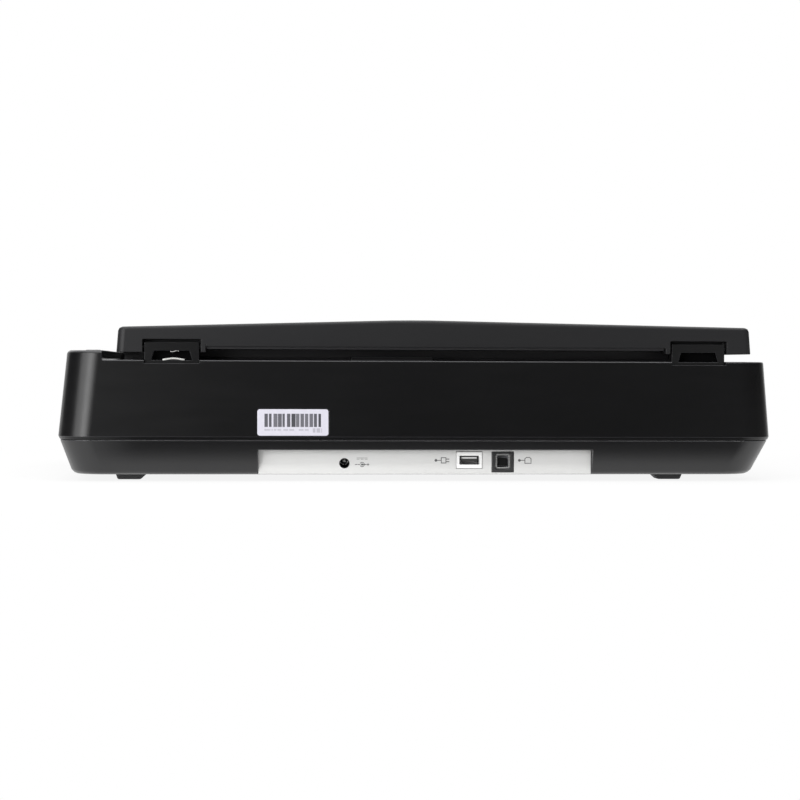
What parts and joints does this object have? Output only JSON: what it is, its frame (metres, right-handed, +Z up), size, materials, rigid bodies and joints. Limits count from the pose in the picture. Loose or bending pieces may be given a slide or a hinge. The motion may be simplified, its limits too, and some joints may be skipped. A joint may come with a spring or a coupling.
{
  "type": "flatbed scanner",
  "caption": "Flatbed document scanner with a rear-hinged lid on lifting legs, a belt-driven carriage under glass and sockets in its rear wall.",
  "frame": {"origin": "on the desk, under the middle of the housing", "axes": "+X to the control band at the right as seen from the front, +Y to the rear, +Z up"},
  "size_m": [0.462, 0.29, 0.1034],
  "materials": {
    "housing": "fine grained black",
    "lid": "fine grained black",
    "inner_plastic": "satin black",
    "foot": "matte",
    "glass": "polished",
    "white_part": "smooth white",
    "panel": "satin light grey",
    "grey_part": "satin grey",
    "bright_steel": "bright",
    "silvered": "first-surface mirror",
    "bronze": "sintered",
    "circuit": "green solder mask",
    "foam": "soft foam",
    "belt": "matte",
    "ribbon": "amber film"
  },
  "bodies": {
    "base": {"lower_housing": "housing", "upper_housing": "housing", "dc_jack": "housing", "usb_device_port": "housing", "platen_bezel": "inner_plastic", "control_panel": "inner_plastic", "foot_left_front": "foot", "foot_left_rear": "foot", "foot_right_front": "foot", "foot_right_rear": "foot", "platen_glass": "glass", "calibration_strip": "white_part", "usb_host_port": "white_part", "rear_label": "white_part", "connector_panel": "panel", "rod_holder_left": "grey_part", "rod_holder_right": "grey_part", "tensioner_bracket": "grey_part", "usb_device_shell": "bright_steel", "screw_left_front": "bright_steel", "screw_left_rear": "bright_steel", "screw_right_front": "bright_steel", "screw_right_rear": "bright_steel", "guide_rod": "bright_steel", "stepper_motor": "bright_steel", "motor_bracket": "bright_steel", "tension_spring": "bright_steel", "main_board": "circuit", "button_board": "circuit", "drive_belt": "belt", "flex_cable": "ribbon"},
    "lid": {"lid_shell": "lid", "lid_inner_panel": "inner_plastic", "document_mat": "foam", "mat_sheet": "white_part", "hinge_pin_left": "inner_plastic", "hinge_pin_right": "inner_plastic"},
    "hinge_legs": {"hinge_leg_left": "inner_plastic", "hinge_leg_right": "inner_plastic"},
    "carriage": {"carriage_housing": "inner_plastic", "bushing_block": "grey_part", "carriage_cover": "inner_plastic", "lamp_tube": "glass", "lens_barrel": "inner_plastic", "mirror_1": "silvered", "mirror_2": "silvered", "sensor_board": "circuit", "bushing_left": "bronze", "bushing_right": "bronze", "glide_shoe": "white_part", "belt_clamp": "grey_part"},
    "drive_gear": {"drive_gear": "white_part"},
    "motor_pinion": {"motor_pinion": "bronze"},
    "idler_pulley": {"idler_pulley": "white_part"},
    "power_button": {"power_button": "grey_part"},
    "file_button": {"file_button": "grey_part"},
    "mail_button": {"mail_button": "grey_part"},
    "copy_button": {"copy_button": "grey_part"},
    "scan_button": {"scan_button": "grey_part"},
    "transport_lock": {"transport_lock": "grey_part"}
  },
  "joints": [
    {"name": "hinge_lift", "type": "slide", "parent": "base", "child": "hinge_legs", "axis": [0, 0, 1], "range_m": [0, 0.015]},
    {"name": "lid_hinge", "type": "hinge", "parent": "hinge_legs", "child": "lid", "pos_m": [-0.01135, 0.134, 0.086], "axis": [-1, 0, 0], "range_deg": [0, 85]},
    {"name": "carriage_slide", "type": "slide", "parent": "base", "child": "carriage", "axis": [-1, 0, 0], "range_m": [0, 0.3]},
    {"name": "drive_gear_spin", "type": "hinge", "parent": "base", "child": "drive_gear", "pos_m": [0.196, 0.04, 0.02], "axis": [0, 0, 1], "range_deg": [0, 2965.6]},
    {"name": "idler_spin", "type": "hinge", "parent": "base", "child": "idler_pulley", "pos_m": [-0.205, 0.04, 0.02], "axis": [0, 0, 1], "range_deg": [0, 2965.6]},
    {"name": "pinion_spin", "type": "hinge", "parent": "base", "child": "motor_pinion", "pos_m": [0.196, 0.0152, 0.01125], "axis": [0, 0, 1], "range_deg": [-12358.2, 0]},
    {"name": "power_press", "type": "slide", "parent": "base", "child": "power_button", "axis": [0, 0, -1], "range_m": [0, 0.0008], "stiffness_N_per_m": 800, "springref_m": -0.0002},
    {"name": "file_press", "type": "slide", "parent": "base", "child": "file_button", "axis": [0, 0, -1], "range_m": [0, 0.0008], "stiffness_N_per_m": 800, "springref_m": -0.0002},
    {"name": "mail_press", "type": "slide", "parent": "base", "child": "mail_button", "axis": [0, 0, -1], "range_m": [0, 0.0008], "stiffness_N_per_m": 800, "springref_m": -0.0002},
    {"name": "copy_press", "type": "slide", "parent": "base", "child": "copy_button", "axis": [0, 0, -1], "range_m": [0, 0.0008], "stiffness_N_per_m": 800, "springref_m": -0.0002},
    {"name": "scan_press", "type": "slide", "parent": "base", "child": "scan_button", "axis": [0, 0, -1], "range_m": [0, 0.0008], "stiffness_N_per_m": 800, "springref_m": -0.0002},
    {"name": "lock_slide", "type": "slide", "parent": "base", "child": "transport_lock", "axis": [0, -1, 0], "range_m": [0, 0.008]}
  ],
  "couplings": [
    {"joint": "drive_gear_spin", "follows": "carriage_slide", "rad_per_m": 172.41},
    {"joint": "idler_spin", "follows": "carriage_slide", "rad_per_m": 172.41},
    {"joint": "pinion_spin", "follows": "carriage_slide", "rad_per_m": -718.39}
  ]
}
